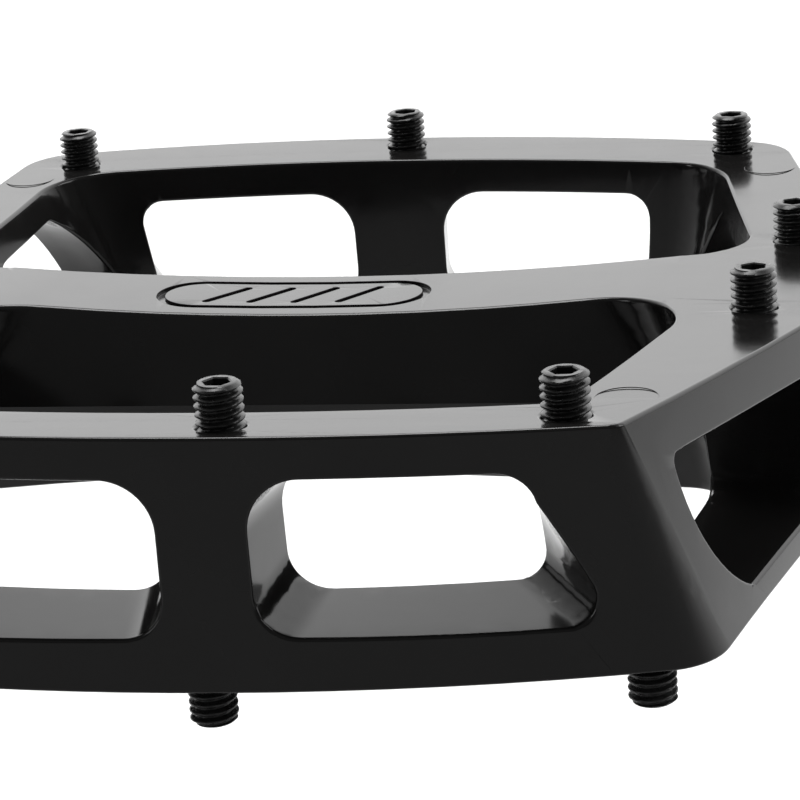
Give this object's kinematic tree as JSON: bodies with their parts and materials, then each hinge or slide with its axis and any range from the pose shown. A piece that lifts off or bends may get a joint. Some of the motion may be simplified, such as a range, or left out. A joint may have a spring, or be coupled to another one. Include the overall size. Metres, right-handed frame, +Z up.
{
  "type": "flat bicycle pedal",
  "caption": "Flat platform pedal with a dished cast body, through windows, threaded traction pins and a spindle on a plain bush and cartridge bearings.",
  "frame": {"origin": "on the axle axis where the spindle's shoulder meets the crank arm", "axes": "+X outboard along the axle, +Z up with the platform level, +Y to the back of the platform as modelled"},
  "size_m": [0.1173, 0.1, 0.0286],
  "materials": {
    "body_paint": "gloss black paint over a cast alloy body",
    "cap_paint": "satin black anodised end cap",
    "spindle_steel": "black-coated chromoly steel with a bright ground journal",
    "pin_steel": "black oxide set screws",
    "bearing_steel": "ground and polished bearing steel",
    "shield_steel": "pressed sheet steel",
    "cage_polymer": "moulded polyamide",
    "zinc_steel": "bright zinc plate",
    "bronze": "sintered bronze",
    "rubber": "matt nitrile rubber"
  },
  "bodies": {
    "spindle": {"spindle": "spindle_steel", "inboard_washer": "zinc_steel", "nut_washer": "zinc_steel", "lock_nut": "zinc_steel", "inner_bearing_inner_race": "bearing_steel", "outer_bearing_inner_race": "bearing_steel"},
    "platform": {"axle_seal": "rubber", "cap_ring": "rubber", "end_cap": "cap_paint", "inboard_bushing": "bronze", "inner_bearing_inboard_shield": "shield_steel", "inner_bearing_outboard_shield": "shield_steel", "inner_bearing_outer_race": "bearing_steel", "outer_bearing_inboard_shield": "shield_steel", "outer_bearing_outboard_shield": "shield_steel", "outer_bearing_outer_race": "bearing_steel", "pin_top_back_inboard": "pin_steel", "pin_top_back_middle": "pin_steel", "pin_top_back_outboard": "pin_steel", "pin_top_front_inboard": "pin_steel", "pin_top_front_middle": "pin_steel", "pin_top_front_outboard": "pin_steel", "pin_top_inboard_back": "pin_steel", "pin_top_inboard_front": "pin_steel", "pin_top_outboard_back": "pin_steel", "pin_top_outboard_front": "pin_steel", "pin_under_back_inboard": "pin_steel", "pin_under_back_middle": "pin_steel", "pin_under_back_outboard": "pin_steel", "pin_under_front_inboard": "pin_steel", "pin_under_front_middle": "pin_steel", "pin_under_front_outboard": "pin_steel", "pin_under_inboard_back": "pin_steel", "pin_under_inboard_front": "pin_steel", "pin_under_outboard_back": "pin_steel", "pin_under_outboard_front": "pin_steel", "platform": "body_paint"},
    "inner_ball_set": {"inner_bearing_balls": "bearing_steel", "inner_bearing_cage": "cage_polymer"},
    "outer_ball_set": {"outer_bearing_balls": "bearing_steel", "outer_bearing_cage": "cage_polymer"}
  },
  "joints": [
    {"name": "platform_spin", "type": "hinge", "parent": "spindle", "child": "platform", "pos_m": [0.057, 0, 0], "axis": [1, 0, 0], "continuous": true},
    {"name": "inner_ball_roll", "type": "hinge", "parent": "spindle", "child": "inner_ball_set", "pos_m": [0.0813, 0, 0], "axis": [1, 0, 0], "continuous": true},
    {"name": "outer_ball_roll", "type": "hinge", "parent": "spindle", "child": "outer_ball_set", "pos_m": [0.0863, 0, 0], "axis": [1, 0, 0], "continuous": true}
  ],
  "couplings": [
    {"joint": "inner_ball_roll", "follows": "platform_spin", "ratio": 0.5905},
    {"joint": "outer_ball_roll", "follows": "platform_spin", "ratio": 0.5905}
  ]
}
